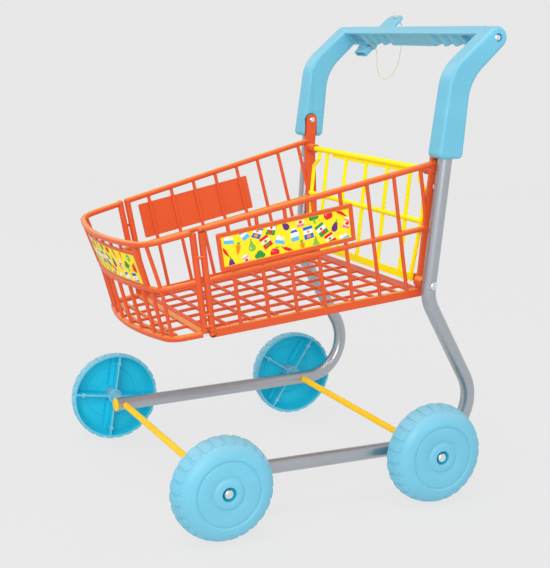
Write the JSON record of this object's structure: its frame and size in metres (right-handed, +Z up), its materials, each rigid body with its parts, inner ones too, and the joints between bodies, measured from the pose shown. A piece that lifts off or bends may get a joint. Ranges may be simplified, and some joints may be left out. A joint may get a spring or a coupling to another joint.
{
  "type": "toy shopping trolley",
  "caption": "Toy shopping trolley: bent tube frame on wheels, slatted tapering basket, top-hinged rear gate, push handle with a coin-lock key on a string.",
  "frame": {"origin": "on the floor under the middle of the trolley's bounding box", "axes": "+Z up, the basket's nose towards -Y, the handle towards +Y, +X to the right seen from behind the handle"},
  "size_m": [0.402, 0.4556, 0.5339],
  "materials": {
    "wheel_blue": "satin",
    "handle_blue": "satin",
    "basket_orange": "satin",
    "gate_yellow": "satin",
    "yellow_trim": "satin",
    "tube_grey": "satin",
    "axle_steel": "satin",
    "zinc": "bright",
    "label": "printed",
    "string": "twisted"
  },
  "bodies": {
    "frame": {"left_side_tube": "tube_grey", "right_side_tube": "tube_grey", "left_tube_cap": "yellow_trim", "right_tube_cap": "yellow_trim", "front_axle": "axle_steel", "rear_axle": "axle_steel", "front_axle_sleeve": "yellow_trim", "rear_axle_sleeve": "yellow_trim", "front_wheel_spacers": "wheel_blue", "rear_wheel_spacers": "wheel_blue", "axle_lock_caps": "zinc", "basket_nose": "basket_orange", "basket_left_side": "basket_orange", "basket_right_side": "basket_orange", "basket_floor": "basket_orange", "nose_clips": "basket_orange", "nose_label": "label", "left_label": "label", "right_label": "label", "left_handle_arm": "handle_blue", "right_handle_arm": "handle_blue", "handle_crossbar": "handle_blue", "crossbar_screws": "zinc", "post_screws": "zinc", "tube_screws": "zinc", "tube_rivets": "zinc", "lock_housing": "handle_blue", "key_string": "string", "lug_knot": "string"},
    "front_left_wheel": {"front_left_wheel": "wheel_blue"},
    "front_right_wheel": {"front_right_wheel": "wheel_blue"},
    "rear_left_wheel": {"rear_left_wheel": "wheel_blue"},
    "rear_right_wheel": {"rear_right_wheel": "wheel_blue"},
    "gate": {"rear_gate": "gate_yellow"},
    "key": {"lock_key": "handle_blue", "key_knot": "string"}
  },
  "joints": [
    {"name": "front_left_wheel_spin", "type": "hinge", "parent": "frame", "child": "front_left_wheel", "pos_m": [-0.187, -0.154, 0.056], "axis": [1, 0, 0], "continuous": true},
    {"name": "front_right_wheel_spin", "type": "hinge", "parent": "frame", "child": "front_right_wheel", "pos_m": [0.187, -0.154, 0.056], "axis": [1, 0, 0], "continuous": true},
    {"name": "rear_left_wheel_spin", "type": "hinge", "parent": "frame", "child": "rear_left_wheel", "pos_m": [-0.187, 0.1, 0.056], "axis": [1, 0, 0], "continuous": true},
    {"name": "rear_right_wheel_spin", "type": "hinge", "parent": "frame", "child": "rear_right_wheel", "pos_m": [0.187, 0.1, 0.056], "axis": [1, 0, 0], "continuous": true},
    {"name": "gate_swing", "type": "hinge", "parent": "frame", "child": "gate", "pos_m": [0, 0.1128, 0.366], "axis": [-1, 0, 0], "range_deg": [0, 80]},
    {"name": "key_pull", "type": "slide", "parent": "frame", "child": "key", "axis": [0, 0.7547, 0.6561], "range_m": [0, 0.02]}
  ]
}
